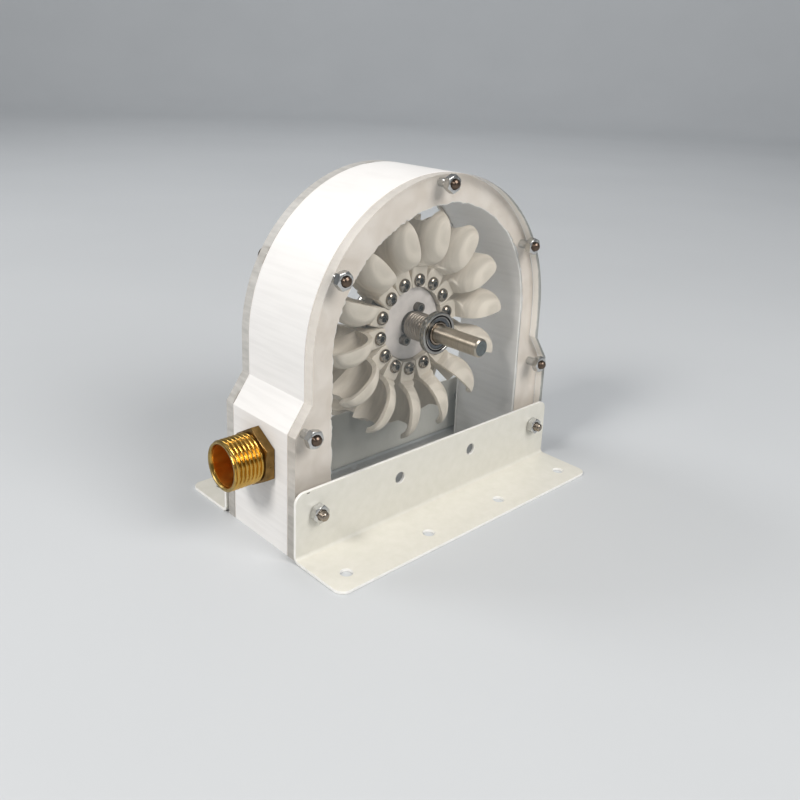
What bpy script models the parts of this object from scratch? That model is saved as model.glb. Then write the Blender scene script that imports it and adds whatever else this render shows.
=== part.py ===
# Bench-size micro pelton turbine: a wheel of bolted twin-cup buckets on a steel shaft, inside a white
# arched housing that clear plates close front and rear. Two steel angles carry it, and a threaded brass
# inlet feeds the jet through its left wall. Metres, +Z up, +Y to the rear. The origin is on the ground,
# under the middle of the whole unit's box.
import math

import bmesh
import bpy
from mathutils import Matrix, Vector

MM = 0.001
GAP = 0.3 * MM

# Housing ring
RING_HALF_DEPTH = 19.0 * MM
ARCH_RADIUS = 69.0 * MM
CAVITY_RADIUS = 61.0 * MM
AXIS_HEIGHT = 80.0 * MM
BASE_HALF_WIDTH = 77.0 * MM
SHOULDER_LOW = 53.0 * MM
SHOULDER_HIGH = 64.5 * MM
ARC_STEPS = 30

# Clear plates
PLATE_THICKNESS = 5.0 * MM
PLATE_INNER = RING_HALF_DEPTH + GAP
PLATE_OUTER = PLATE_INNER + PLATE_THICKNESS

# Steel angles
ANGLE_LENGTH = 156.0 * MM
ANGLE_LEG = 30.0 * MM
ANGLE_SHEET = 1.5 * MM
ANGLE_BEND = 3.0 * MM
ANGLE_CORNER = 4.5 * MM
ANGLE_PITCH = 45.0 * MM
ANGLE_HOLE = 2.6 * MM
ANGLE_HOLE_HEIGHT = 19.5 * MM
ANGLE_FOOT_REACH = 20.3 * MM
ANGLE_FACE = PLATE_OUTER + GAP

# Tie bolts and nuts
BOLT_RADIUS = 2.0 * MM
BOLT_HOLE = 2.35 * MM
BOLT_CIRCLE = 65.0 * MM
BOLT_HEAD_RADIUS = 3.8 * MM
BOLT_HEAD_HEIGHT = 2.3 * MM
BOLT_PROUD = 1.8 * MM
NUT_FLATS = 7.0 * MM
NUT_HEIGHT = 3.2 * MM
SHOULDER_BOLT = (69.4 * MM, 51.5 * MM)
ANGLE_BOLT = (1.5 * ANGLE_PITCH, ANGLE_HOLE_HEIGHT)

# Shaft, bearings and collars
SHAFT_RADIUS = 4.0 * MM
SHAFT_FRONT = 47.7 * MM
SHAFT_REAR = 28.0 * MM
SHAFT_CHAMFER = 0.7 * MM
SHAFT_FIT = 0.15 * MM
BEARING_RADIUS = 9.5 * MM
BEARING_WIDTH = 3.0 * MM
BEARING_SUNK = 1.1 * MM
BEARING_LIP = 1.4 * MM
INNER_RACE_RADIUS = 5.2 * MM
SHIELD_RADIUS = 5.5 * MM
BEARING_FACE = PLATE_OUTER - BEARING_SUNK
BEARING_BACK = BEARING_FACE - BEARING_WIDTH
COLLAR_RADIUS = 6.4 * MM
COLLAR_GROOVE = 0.5 * MM
COLLAR_RIBS = 8
COLLAR_NECK_RADIUS = 5.9 * MM
COLLAR_NECK = 1.7 * MM
COLLAR_NOSE_RADIUS = 5.0 * MM
COLLAR_NOSE = 0.8 * MM

# Wheel
BUCKETS = 14
FIRST_BUCKET = math.radians(84.3)
HUB_RADIUS = 16.7 * MM
HUB_HALF_DEPTH = 5.2 * MM
WEB_RADIUS = 23.8 * MM
WEB_HALF_DEPTH = 2.0 * MM
STEM_ROOT = HUB_RADIUS + GAP
STEM_ROOT_HALF = 3.69 * MM
STEM_WIDENS_TO = 20.0 * MM
STEM_HALF = 4.4 * MM
STEM_HALF_WIDTH = 7.5 * MM
STEM_BLEND = 2.5 * MM
NECK = 26.0 * MM
CUP_MIDDLE = 41.0 * MM
TIP = 52.8 * MM
CUP_HALF_WIDTH = 18.2 * MM
CUP_RIM = -4.9 * MM
CUP_DEEPEST = 39.0 * MM
CUP_HEIGHT = 10.6 * MM
NECK_HEIGHT = 7.9 * MM
CUP_WALL = 2.0 * MM
CUP_STATIONS = 10
SPLITTER_DROP = 1.0 * MM
NOTCH_ROOT = 46.6 * MM
NOTCH_HALF_WIDTH = 11.8 * MM
NOTCH_CORNER = 3.4 * MM
SPLITTER_TIP = 48.3 * MM

# Inlet
INLET_HEIGHT = 37.5 * MM
THREAD_RADIUS = 10.48 * MM
THREAD_DEPTH = 1.1 * MM
THREAD_PITCH = 1.814 * MM
THREAD_TURNS = 7
INLET_BORE = 8.5 * MM
HEX_FLATS = 22.0 * MM
HEX_THICKNESS = 4.0 * MM
STUB_RADIUS = 9.6 * MM
STUB_LENGTH = 8.0 * MM
JET_RADIUS = 4.0 * MM
INLET_LAND = 0.8 * MM
INLET_REACH = BASE_HALF_WIDTH + GAP + HEX_THICKNESS + THREAD_TURNS * THREAD_PITCH + INLET_LAND

# The housing stands this far to the right of the origin, so that the whole box is centred on it.
HOUSING_X = (INLET_REACH - ANGLE_LENGTH / 2) / 2

FACING_REAR = Matrix.Rotation(math.radians(90), 4, "X")


def clear_scene():
    for old in list(bpy.data.objects):
        bpy.data.objects.remove(old, do_unlink=True)


def new_collection(name):
    group = bpy.data.collections.new(name)
    bpy.context.scene.collection.children.link(group)
    return group


def make_material(name, colour, roughness, metallic=0.0, alpha=1.0):
    material = bpy.data.materials.new(name)
    material.use_nodes = True
    shader = material.node_tree.nodes["Principled BSDF"]
    shader.inputs["Base Color"].default_value = (*colour, 1.0)
    shader.inputs["Roughness"].default_value = roughness
    shader.inputs["Metallic"].default_value = metallic
    shader.inputs["Alpha"].default_value = alpha
    return material


def add_object(name, mesh, group, material=None, parent=None, smooth_angle=None):
    if smooth_angle is not None:
        mesh.shade_smooth()
        mesh.set_sharp_from_angle(angle=math.radians(smooth_angle))
    piece = bpy.data.objects.new(name, mesh)
    group.objects.link(piece)
    if material is not None:
        mesh.materials.append(material)
    piece.parent = parent
    return piece


def add_empty(name, group, location, parent=None):
    empty = bpy.data.objects.new(name, None)
    group.objects.link(empty)
    empty.location = location
    empty.parent = parent
    return empty


def mark_cutter(piece):
    piece.hide_render = True
    piece.display_type = "WIRE"
    return piece


def cut(piece, cutter, operation="DIFFERENCE"):
    step = piece.modifiers.new(cutter.name, "BOOLEAN")
    step.operation = operation
    step.solver = "EXACT"
    step.object = cutter


def arc_points(centre, radius, start, end, steps):
    points = []
    for i in range(steps + 1):
        angle = math.radians(start + (end - start) * i / steps)
        points.append((centre[0] + radius * math.cos(angle), centre[1] + radius * math.sin(angle)))
    return points


def circle_points(centre, radius, steps):
    return arc_points(centre, radius, 0, 360, steps)[:-1]


def outline_mesh(name, loops, half_thickness, turn=Matrix.Identity(4)):
    """A flat outline with holes, extruded both ways and welded into one closed mesh."""
    curve = bpy.data.curves.new(name, "CURVE")
    curve.dimensions = "2D"
    curve.fill_mode = "BOTH"
    curve.extrude = half_thickness
    for loop in loops:
        spline = curve.splines.new("POLY")
        spline.points.add(len(loop) - 1)
        spline.use_cyclic_u = True
        for point, (x, y) in zip(spline.points, loop):
            point.co = (x, y, 0.0, 1.0)
    holder = bpy.data.objects.new(name, curve)
    bpy.context.scene.collection.objects.link(holder)
    evaluated = holder.evaluated_get(bpy.context.evaluated_depsgraph_get())
    mesh = bpy.data.meshes.new_from_object(evaluated)
    mesh.name = name
    bpy.data.objects.remove(holder, do_unlink=True)
    bpy.data.curves.remove(curve)
    shape = bmesh.new()
    shape.from_mesh(mesh)
    bmesh.ops.remove_doubles(shape, verts=shape.verts, dist=0.01 * MM)
    bmesh.ops.recalc_face_normals(shape, faces=shape.faces)
    shape.to_mesh(mesh)
    shape.free()
    mesh.transform(turn)
    mesh.materials.clear()
    return mesh


def turned(name, profile, steps, group, material=None, parent=None, closed=False):
    """A turned piece about its own Z axis. The profile runs from the top down its outer side."""
    section = bpy.data.meshes.new(name + "_section")
    points = [(radius, 0.0, height) for radius, height in profile]
    edges = [(i, i + 1) for i in range(len(points) - 1)]
    if closed:
        edges.append((len(points) - 1, 0))
    section.from_pydata(points, edges, [])
    blank = add_object(name + "_section", section, group)
    spin = blank.modifiers.new("turn", "SCREW")
    spin.axis = "Z"
    spin.steps = steps
    spin.render_steps = steps
    spin.use_merge_vertices = True
    spin.merge_threshold = 0.00001
    evaluated = blank.evaluated_get(bpy.context.evaluated_depsgraph_get())
    mesh = bpy.data.meshes.new_from_object(evaluated)
    mesh.name = name
    bpy.data.objects.remove(blank, do_unlink=True)
    return add_object(name, mesh, group, material, parent, 30)


def cylinder_mesh(name, radius, depth, sides, turn=Matrix.Identity(4)):
    shape = bmesh.new()
    bmesh.ops.create_cone(shape, cap_ends=True, segments=sides, radius1=radius, radius2=radius,
                          depth=depth, matrix=turn)
    mesh = bpy.data.meshes.new(name)
    shape.to_mesh(mesh)
    shape.free()
    return mesh


def bolt_places():
    """The seven tie bolts, seen from the front: place across, height, and whether it holds the angles."""
    places = []
    for angle in (150, 90, 30):
        across = BOLT_CIRCLE * math.cos(math.radians(angle))
        height = AXIS_HEIGHT + BOLT_CIRCLE * math.sin(math.radians(angle))
        places.append((across, height, False))
    for side in (-1, 1):
        places.append((side * SHOULDER_BOLT[0], SHOULDER_BOLT[1], False))
    for side in (-1, 1):
        places.append((side * ANGLE_BOLT[0], ANGLE_BOLT[1], True))
    return places


def outer_outline():
    left = [(-BASE_HALF_WIDTH, 0.0), (-BASE_HALF_WIDTH, SHOULDER_LOW), (-ARCH_RADIUS, SHOULDER_HIGH)]
    arch = arc_points((0.0, AXIS_HEIGHT), ARCH_RADIUS, 180, 0, ARC_STEPS)
    right = [(-x, z) for x, z in reversed(left)]
    return left + arch + right


def make_ring(group, cutters, material, parent):
    arch = arc_points((0.0, AXIS_HEIGHT), CAVITY_RADIUS, 0, 180, ARC_STEPS)
    cavity = [(CAVITY_RADIUS, 0.0)] + arch + [(-CAVITY_RADIUS, 0.0)]
    holes = [circle_points((x, z), BOLT_HOLE, 12) for x, z, _ in bolt_places()]
    mesh = outline_mesh("housing_ring", [outer_outline() + cavity] + holes, RING_HALF_DEPTH, FACING_REAR)
    ring = add_object("housing_ring", mesh, group, material, parent, 30)
    turn = Matrix.Rotation(math.radians(90), 4, "Y")
    middle = -(BASE_HALF_WIDTH + CAVITY_RADIUS) / 2
    jet = add_object("jet_cutter", cylinder_mesh("jet_cutter", JET_RADIUS, 40 * MM, 20, turn), cutters)
    jet.parent = parent
    jet.location = (middle, 0.0, INLET_HEIGHT)
    seat_depth = 2 * (STUB_LENGTH + GAP)
    seat_mesh = cylinder_mesh("seat_cutter", STUB_RADIUS + GAP, seat_depth, 32, turn)
    seat = add_object("seat_cutter", seat_mesh, cutters)
    seat.parent = parent
    seat.location = (-BASE_HALF_WIDTH, 0.0, INLET_HEIGHT)
    for cutter in (jet, seat):
        mark_cutter(cutter)
        cut(ring, cutter)


def make_plate(name, side, group, material, parent):
    holes = [circle_points((x, z), BOLT_HOLE, 12) for x, z, _ in bolt_places()]
    bore = circle_points((0.0, AXIS_HEIGHT), BEARING_RADIUS + GAP, 32)
    mesh = outline_mesh(name, [outer_outline(), bore] + holes, PLATE_THICKNESS / 2, FACING_REAR)
    plate = add_object(name, mesh, group, material, parent, 30)
    plate.location = (0.0, side * (PLATE_INNER + PLATE_THICKNESS / 2), 0.0)


def angle_profile():
    """Section of a steel angle: its upright stands at depth 0, and its foot runs to larger depths."""
    inside = ANGLE_BEND - ANGLE_SHEET
    outer_bend = arc_points((ANGLE_BEND, ANGLE_BEND), ANGLE_BEND, 180, 270, 4)
    inner_bend = arc_points((ANGLE_BEND, ANGLE_BEND), inside, 270, 180, 4)
    foot_end = [(ANGLE_LEG, 0.0), (ANGLE_LEG, ANGLE_SHEET)]
    upright_end = [(ANGLE_SHEET, ANGLE_LEG), (0.0, ANGLE_LEG)]
    return outer_bend + foot_end + inner_bend + upright_end


def round_angle_corners(mesh):
    """Rounds the four sheet corners at the free ends of the upright and of the foot."""
    shape = bmesh.new()
    shape.from_mesh(mesh)
    corners = []
    for edge in shape.edges:
        a, b = edge.verts[0].co, edge.verts[1].co
        at_end = abs(abs(a.x) - ANGLE_LENGTH / 2) < 0.01 * MM and abs(a.x - b.x) < 0.01 * MM
        on_top = min(a.z, b.z) > ANGLE_LEG - 0.01 * MM
        on_toe = min(abs(a.y), abs(b.y)) > ANGLE_LEG - 0.01 * MM
        if at_end and (on_top or on_toe):
            corners.append(edge)
    bmesh.ops.bevel(shape, geom=corners, offset=ANGLE_CORNER, segments=4, profile=0.5, affect="EDGES")
    shape.to_mesh(mesh)
    shape.free()


def angle_hole_cutter(cutters):
    """Eight drills: four through the upright and four through the foot."""
    mesh = bpy.data.meshes.new("angle_hole_cutter")
    shape = bmesh.new()
    for i in range(4):
        x = (i - 1.5) * ANGLE_PITCH
        through_upright = Matrix.Translation((x, 0.0, ANGLE_HOLE_HEIGHT)) @ FACING_REAR
        through_foot = Matrix.Translation((x, -ANGLE_FOOT_REACH, 0.0))
        for place in (through_upright, through_foot):
            bmesh.ops.create_cone(shape, cap_ends=True, segments=14, radius1=ANGLE_HOLE,
                                  radius2=ANGLE_HOLE, depth=10 * MM, matrix=place)
    shape.to_mesh(mesh)
    shape.free()
    return mark_cutter(add_object("angle_hole_cutter", mesh, cutters))


def make_angles(group, cutters, material, parent):
    # The section is drawn with its depth along +X, and this turn lays it along -Y with its length on X.
    lay = Matrix.Rotation(math.radians(-90), 4, "Z") @ FACING_REAR
    mesh = outline_mesh("angle", [angle_profile()], ANGLE_LENGTH / 2, lay)
    round_angle_corners(mesh)
    cutter = angle_hole_cutter(cutters)
    for name, side in (("front_bracket", -1), ("rear_bracket", 1)):
        angle = add_object(name, mesh.copy(), group, material, parent, 30)
        angle.location = (0.0, side * ANGLE_FACE, 0.0)
        angle.rotation_euler = (0.0, 0.0, 0.0 if side < 0 else math.pi)
        drill = cutter
        if side > 0:
            drill = add_object("angle_hole_cutter_rear", cutter.data, cutters)
            mark_cutter(drill)
        drill.parent = parent
        drill.location = angle.location
        drill.rotation_euler = angle.rotation_euler
        cut(angle, drill)


def make_tie_bolt(number, across, height, through_angles, group, material, parent):
    face = PLATE_OUTER + GAP
    if through_angles:
        face = ANGLE_FACE + ANGLE_SHEET + GAP
    nut_front = face + NUT_HEIGHT
    end = nut_front + BOLT_PROUD
    rim = 0.7 * MM
    head_top = face + BOLT_HEAD_HEIGHT
    dome = []
    for i in range(4):
        angle = math.radians(90 - 30 * i)
        dome.append((BOLT_HEAD_RADIUS * math.cos(angle),
                     face + rim + (BOLT_HEAD_HEIGHT - rim) * math.sin(angle)))
    tip = 0.9 * MM
    profile = dome + [(BOLT_HEAD_RADIUS, face), (BOLT_RADIUS, face)]
    profile += [(BOLT_RADIUS, -(end - tip)), (0.65 * BOLT_RADIUS, -(end - 0.25 * tip)), (0.0, -end)]
    profile[0] = (0.0, head_top)
    bolt = turned("tie_bolt_%d" % number, profile, 12, group, material, parent)
    bolt.location = (across, 0.0, height)
    bolt.rotation_euler = (math.radians(-90), 0.0, 0.0)
    hexagon = circle_points((0.0, 0.0), NUT_FLATS / math.sqrt(3), 6)
    hole = circle_points((0.0, 0.0), BOLT_HOLE, 12)
    mesh = outline_mesh("tie_nut_%d" % number, [hexagon, hole], NUT_HEIGHT / 2, FACING_REAR)
    nut = add_object("tie_nut_%d" % number, mesh, group, material, parent)
    nut.location = (across, -(face + NUT_HEIGHT / 2), height)
    nut.rotation_euler = (0.0, math.radians(12 * number), 0.0)


def make_bearing(side_name, side, group, material, housing, wheel):
    """A ball bearing sunk in its plate: the outer ring with its shields, and the inner ring on the shaft."""
    front = BEARING_FACE
    back = BEARING_BACK
    groove = 0.35 * MM
    edge = 0.3 * MM
    lip = BEARING_RADIUS - BEARING_LIP
    outer = [(SHIELD_RADIUS, front - groove), (lip, front - groove), (lip, front),
             (BEARING_RADIUS - edge, front), (BEARING_RADIUS, front - edge),
             (BEARING_RADIUS, back + edge), (BEARING_RADIUS - edge, back), (lip, back),
             (lip, back + groove), (SHIELD_RADIUS, back + groove)]
    bore = SHAFT_RADIUS + SHAFT_FIT
    inner = [(bore, front), (INNER_RACE_RADIUS, front), (INNER_RACE_RADIUS, back), (bore, back)]
    tilt = (math.radians(90 if side < 0 else -90), 0.0, 0.0)
    ring = turned(side_name + "_bearing_outer", outer, 24, group, material, housing, closed=True)
    ring.location = (0.0, 0.0, AXIS_HEIGHT)
    ring.rotation_euler = tilt
    race = turned(side_name + "_bearing_inner", inner, 24, group, material, wheel, closed=True)
    race.rotation_euler = tilt


def make_collar(name, side, group, material, parent):
    """The ribbed barrel that holds the wheel off its bearing."""
    neck_end = HUB_HALF_DEPTH + GAP
    root = neck_end + COLLAR_NECK
    nose_end = BEARING_BACK - GAP
    barrel_end = nose_end - COLLAR_NOSE
    bore = SHAFT_RADIUS + SHAFT_FIT
    pitch = (barrel_end - root) / COLLAR_RIBS
    profile = [(bore, nose_end), (COLLAR_NOSE_RADIUS, nose_end), (COLLAR_NOSE_RADIUS, barrel_end)]
    for i in range(COLLAR_RIBS):
        top = barrel_end - i * pitch
        profile.append((COLLAR_RADIUS, top - 0.4 * pitch))
        if i < COLLAR_RIBS - 1:
            profile.append((COLLAR_RADIUS - COLLAR_GROOVE, top - pitch))
    profile += [(COLLAR_RADIUS, root), (COLLAR_NECK_RADIUS, root), (COLLAR_NECK_RADIUS, neck_end), (bore, neck_end)]
    collar = turned(name, profile, 20, group, material, parent, closed=True)
    collar.rotation_euler = (math.radians(90 if side < 0 else -90), 0.0, 0.0)


def make_shaft(group, material, parent):
    inside = SHAFT_RADIUS - SHAFT_CHAMFER
    profile = [(0.0, SHAFT_FRONT), (inside, SHAFT_FRONT), (SHAFT_RADIUS, SHAFT_FRONT - SHAFT_CHAMFER),
               (SHAFT_RADIUS, -(SHAFT_REAR - SHAFT_CHAMFER)), (inside, -SHAFT_REAR), (0.0, -SHAFT_REAR)]
    shaft = turned("shaft", profile, 24, group, material, parent)
    shaft.rotation_euler = (math.radians(90), 0.0, 0.0)


def make_hub(group, material, parent):
    """A disc set back from the faces of the stems that butt against it, with a thin web between their forks."""
    bore = SHAFT_RADIUS + SHAFT_FIT
    edge = 0.6 * MM
    half = [(bore, HUB_HALF_DEPTH), (HUB_RADIUS - edge, HUB_HALF_DEPTH), (HUB_RADIUS, HUB_HALF_DEPTH - edge),
            (HUB_RADIUS, WEB_HALF_DEPTH), (WEB_RADIUS, WEB_HALF_DEPTH)]
    profile = half + [(radius, -height) for radius, height in reversed(half)]
    hub = turned("wheel_hub", profile, 28, group, material, parent, closed=True)
    hub.rotation_euler = (math.radians(90), 0.0, 0.0)


def cup_half_width(radius):
    """Half the bucket's width at its rim: a full oval from the neck to the tip."""
    if radius < CUP_MIDDLE:
        reach, power = CUP_MIDDLE - NECK + 0.3 * MM, 2.5
    else:
        reach, power = TIP - CUP_MIDDLE + 0.4 * MM, 2.8
    away = abs(radius - CUP_MIDDLE) / reach
    return max(CUP_HALF_WIDTH * (1.0 - away ** power) ** (1.0 / power), STEM_HALF_WIDTH)


def cup_height(radius):
    """How far the back of the bucket stands off the plane of its rim."""
    if radius < CUP_DEEPEST:
        away = (CUP_DEEPEST - radius) / (CUP_DEEPEST - NECK)
        return NECK_HEIGHT + (CUP_HEIGHT - NECK_HEIGHT) * (0.5 + 0.5 * math.cos(math.pi * away))
    away = (radius - CUP_DEEPEST) / (TIP - CUP_DEEPEST + 0.1 * MM)
    return CUP_HEIGHT * (1.0 - away ** 1.9) ** 0.526


def lobe(turn, squareness):
    """A point of the rounded side of one lobe: share of the half width, and share of the height."""
    across = 0.5 + 0.5 * math.cos(turn) ** (2.0 / squareness)
    return across, math.sin(turn) ** (2.0 / squareness)


def section_loop(radius, half_width, rim, height, groove, hollow, squareness):
    """One section across the bucket: over its back from side to side, then back through both cups.
    groove is the share of the height lost between the lobes, and hollow the depth of the cups."""
    outside = [lobe(math.radians(turn), squareness) for turn in (0, 14, 33, 58, 90)]
    outside += [(0.22, 1.0 - 0.4 * groove), (0.0, 1.0 - groove)]
    mouth = 1.0 - CUP_WALL / half_width
    inside = [lobe(math.radians(turn), 2.0) for turn in (0, 26, 55, 90)] + [(0.2, 0.72), (0.0, 0.0)]
    drop = min(SPLITTER_DROP, 0.3 * hollow)
    over_back = [(share * half_width, rim + rise * height) for share, rise in outside]
    through_cup = [(share * mouth * half_width, rim + rise * hollow) for share, rise in inside[:-1]]
    through_cup.append((0.0, rim + drop))
    loop = over_back + [(-y, t) for y, t in reversed(over_back[:-1])]
    loop += [(-y, t) for y, t in through_cup] + [(y, t) for y, t in reversed(through_cup[:-1])]
    return [Vector((radius, y, t)) for y, t in loop]


def bucket_sections():
    """Stem from the hub to the neck, then the twin cup from the neck to the tip."""
    sections = []
    for radius, half in ((STEM_ROOT, STEM_ROOT_HALF), (STEM_WIDENS_TO, STEM_HALF), (NECK, STEM_HALF)):
        sections.append(section_loop(radius, STEM_HALF_WIDTH, -half, 2 * half, 0.0, 0.0, 12.0))
    for i in range(1, CUP_STATIONS + 1):
        along = 0.5 - 0.5 * math.cos(math.pi * i / CUP_STATIONS)
        radius = NECK + (TIP - NECK) * along
        height = cup_height(radius)
        from_middle = 2.0 * along - 1.0
        fullness = math.sqrt(max(0.0, 1.0 - (from_middle / 0.84) ** 2))
        rim = CUP_RIM + 0.7 * MM * from_middle ** 4
        hollow = max(0.0, height - CUP_WALL) * fullness
        squareness = 2.0 + 10.0 * max(0.0, 1.0 - (radius - NECK) / STEM_BLEND) ** 2
        sections.append(section_loop(radius, cup_half_width(radius), rim, height, 0.2 * fullness, hollow,
                                     squareness))
    return sections


def bucket_mesh():
    shape = bmesh.new()
    rings = [[shape.verts.new(point) for point in section] for section in bucket_sections()]
    count = len(rings[0])
    for here, there in zip(rings, rings[1:]):
        for i in range(count):
            j = (i + 1) % count
            shape.faces.new((here[i], here[j], there[j], there[i]))
    for ring in (list(reversed(rings[0])), rings[-1]):
        middle = shape.verts.new(sum((vertex.co for vertex in ring), Vector()) / count)
        for i in range(count):
            shape.faces.new((ring[i], ring[(i + 1) % count], middle))
    if shape.calc_volume(signed=True) < 0:
        bmesh.ops.reverse_faces(shape, faces=shape.faces)
    mesh = bpy.data.meshes.new("bucket")
    shape.to_mesh(mesh)
    shape.free()
    return mesh


def notch_outline():
    """The mouth in the lip, seen from the rim: round-cornered, a horn each side, the splitter ending in it."""
    half = [(SPLITTER_TIP, 0.8 * MM), (NOTCH_ROOT, 3.2 * MM)]
    for turn in (0, 30, 60, 90):
        rise = NOTCH_CORNER * (1.0 - math.cos(math.radians(turn)))
        inward = NOTCH_CORNER * (1.0 - math.sin(math.radians(turn)))
        half.append((NOTCH_ROOT + rise, NOTCH_HALF_WIDTH - inward))
    half.append((TIP + 1.5 * MM, NOTCH_HALF_WIDTH))
    return half + [(x, -y) for x, y in reversed(half)]


def shaped_bucket(group):
    """One bucket with its fork slot over the web and the notch in its lip, as a finished mesh."""
    blank = add_object("bucket_blank", bucket_mesh(), group)
    slot_mesh = cylinder_mesh("slot_cutter", WEB_RADIUS + GAP, 2 * (WEB_HALF_DEPTH + GAP), 56, FACING_REAR)
    notch_mesh = outline_mesh("notch_cutter", [notch_outline()], 20 * MM)
    slot = add_object("slot_cutter", slot_mesh, group)
    notch = add_object("notch_cutter", notch_mesh, group)
    for cutter in (slot, notch):
        cut(blank, cutter)
    evaluated = blank.evaluated_get(bpy.context.evaluated_depsgraph_get())
    mesh = bpy.data.meshes.new_from_object(evaluated)
    mesh.name = "bucket"
    for helper in (blank, slot, notch):
        bpy.data.objects.remove(helper, do_unlink=True)
    return mesh


def make_buckets(group, cutters, material, parent):
    mesh = shaped_bucket(cutters)
    mesh.shade_smooth()
    mesh.set_sharp_from_angle(angle=math.radians(40))
    mesh.materials.append(material)
    for i in range(BUCKETS):
        bucket = add_object("bucket_%02d" % (i + 1), mesh, group, parent=parent)
        angle = FIRST_BUCKET - 2 * math.pi * i / BUCKETS
        bucket.rotation_euler = (0.0, -angle, 0.0)


def make_inlet(group, cutters, material, parent):
    """Brass nipple: threaded spigot, hexagon and the stub that sits in the wall, turned about +X."""
    root = INLET_REACH - BASE_HALF_WIDTH
    depth = STUB_LENGTH
    crest, valley = THREAD_RADIUS, THREAD_RADIUS - THREAD_DEPTH
    profile = [(0.0, root), (crest - 0.5 * MM, root), (crest - 0.1 * MM, root - 0.5 * INLET_LAND)]
    for i in range(THREAD_TURNS):
        top = root - INLET_LAND - i * THREAD_PITCH
        profile.append((crest, top))
        if i < THREAD_TURNS - 1:
            profile.append((valley, top - 0.5 * THREAD_PITCH))
    profile += [(valley, root - INLET_LAND - (THREAD_TURNS - 0.5) * THREAD_PITCH)]
    profile += [(STUB_RADIUS - 0.2 * MM, HEX_THICKNESS), (STUB_RADIUS, -depth), (0.0, -depth)]
    nipple = turned("inlet_nipple", profile, 24, group, material, parent)
    nipple.location = (-BASE_HALF_WIDTH, 0.0, INLET_HEIGHT)
    nipple.rotation_euler = (0.0, math.radians(-90), 0.0)
    hex_radius = HEX_FLATS / math.sqrt(3)
    hexagon = add_object("hex_cutter", cylinder_mesh("hex_cutter", hex_radius, HEX_THICKNESS, 6), cutters)
    hexagon.location = (0.0, 0.0, GAP + HEX_THICKNESS / 2)
    bore = add_object("bore_cutter", cylinder_mesh("bore_cutter", INLET_BORE, 80 * MM, 24), cutters)
    for cutter in (hexagon, bore):
        cutter.parent = nipple
        mark_cutter(cutter)
    cut(nipple, hexagon, "UNION")
    cut(nipple, bore)


def build():
    clear_scene()
    group = new_collection("pelton_turbine")
    cutters = new_collection("cutters")
    printed = make_material("white_print", (0.86, 0.86, 0.84), 0.5)
    clear = make_material("clear_plate", (0.80, 0.84, 0.84), 0.1, alpha=0.3)
    coated = make_material("cream_coating", (0.80, 0.79, 0.73), 0.35, 0.1)
    brass = make_material("brass", (0.78, 0.52, 0.16), 0.25, 1.0)
    steel = make_material("steel", (0.55, 0.53, 0.50), 0.25, 1.0)
    bucket_print = make_material("bucket_print", (0.66, 0.63, 0.56), 0.55)
    hub_print = make_material("hub_print", (0.60, 0.59, 0.58), 0.5)

    housing = add_empty("housing_base", group, (HOUSING_X, 0.0, 0.0))
    wheel = add_empty("wheel_axis", group, (0.0, 0.0, AXIS_HEIGHT), housing)

    make_ring(group, cutters, printed, housing)
    make_plate("front_plate", -1, group, clear, housing)
    make_plate("rear_plate", 1, group, clear, housing)
    make_angles(group, cutters, coated, housing)
    make_inlet(group, cutters, brass, housing)
    for number, (across, height, through_angles) in enumerate(bolt_places(), 1):
        make_tie_bolt(number, across, height, through_angles, group, steel, housing)
    for side_name, side in (("front", -1), ("rear", 1)):
        make_bearing(side_name, side, group, steel, housing, wheel)
        make_collar(side_name + "_collar", side, group, steel, wheel)
    make_shaft(group, steel, wheel)
    make_hub(group, hub_print, wheel)
    make_buckets(group, cutters, bucket_print, wheel)


build()
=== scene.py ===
# Bench-size micro pelton turbine, dressed for the render: printed ring and wheel, clear plates, coated
# angles, brass inlet, fasteners, shaft and bearings. Lengths in the builders are millimetres, about a
# frame whose origin is on the ground under the shaft, and each mesh is scaled to metres at the end.
import math

import bmesh
import bpy
from mathutils import Matrix, Vector, noise


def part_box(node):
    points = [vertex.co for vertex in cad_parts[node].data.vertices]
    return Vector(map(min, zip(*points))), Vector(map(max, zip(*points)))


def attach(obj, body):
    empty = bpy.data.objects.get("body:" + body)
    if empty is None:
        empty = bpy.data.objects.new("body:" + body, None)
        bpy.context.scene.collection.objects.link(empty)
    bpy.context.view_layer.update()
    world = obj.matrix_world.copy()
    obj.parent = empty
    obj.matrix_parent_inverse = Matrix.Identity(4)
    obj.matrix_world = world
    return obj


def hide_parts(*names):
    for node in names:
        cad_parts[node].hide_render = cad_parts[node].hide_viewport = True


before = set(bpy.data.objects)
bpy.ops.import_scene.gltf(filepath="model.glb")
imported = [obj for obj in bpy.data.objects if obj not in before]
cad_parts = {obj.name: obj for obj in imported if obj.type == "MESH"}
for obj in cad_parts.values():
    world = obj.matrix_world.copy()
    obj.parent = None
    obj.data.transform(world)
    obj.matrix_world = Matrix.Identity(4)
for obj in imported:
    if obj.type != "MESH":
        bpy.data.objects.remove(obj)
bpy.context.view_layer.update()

# Housing
RING_HALF_DEPTH = 19.0
ARCH_RADIUS = 69.0
CAVITY_RADIUS = 61.0
AXIS_HEIGHT = 80.0
BASE_HALF_WIDTH = 77.0
SHOULDER_LOW = 53.0
SHOULDER_HIGH = 64.5
PLATE_INNER = 19.3
PLATE_OUTER = 24.3
PLATE_THICKNESS = PLATE_OUTER - PLATE_INNER
PRINT_EDGE = 0.25
PLATE_EDGE = 0.15
BORE_WALL_WITHIN = 15.0
HOLE_WALL_WITHIN = 3.2

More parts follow.
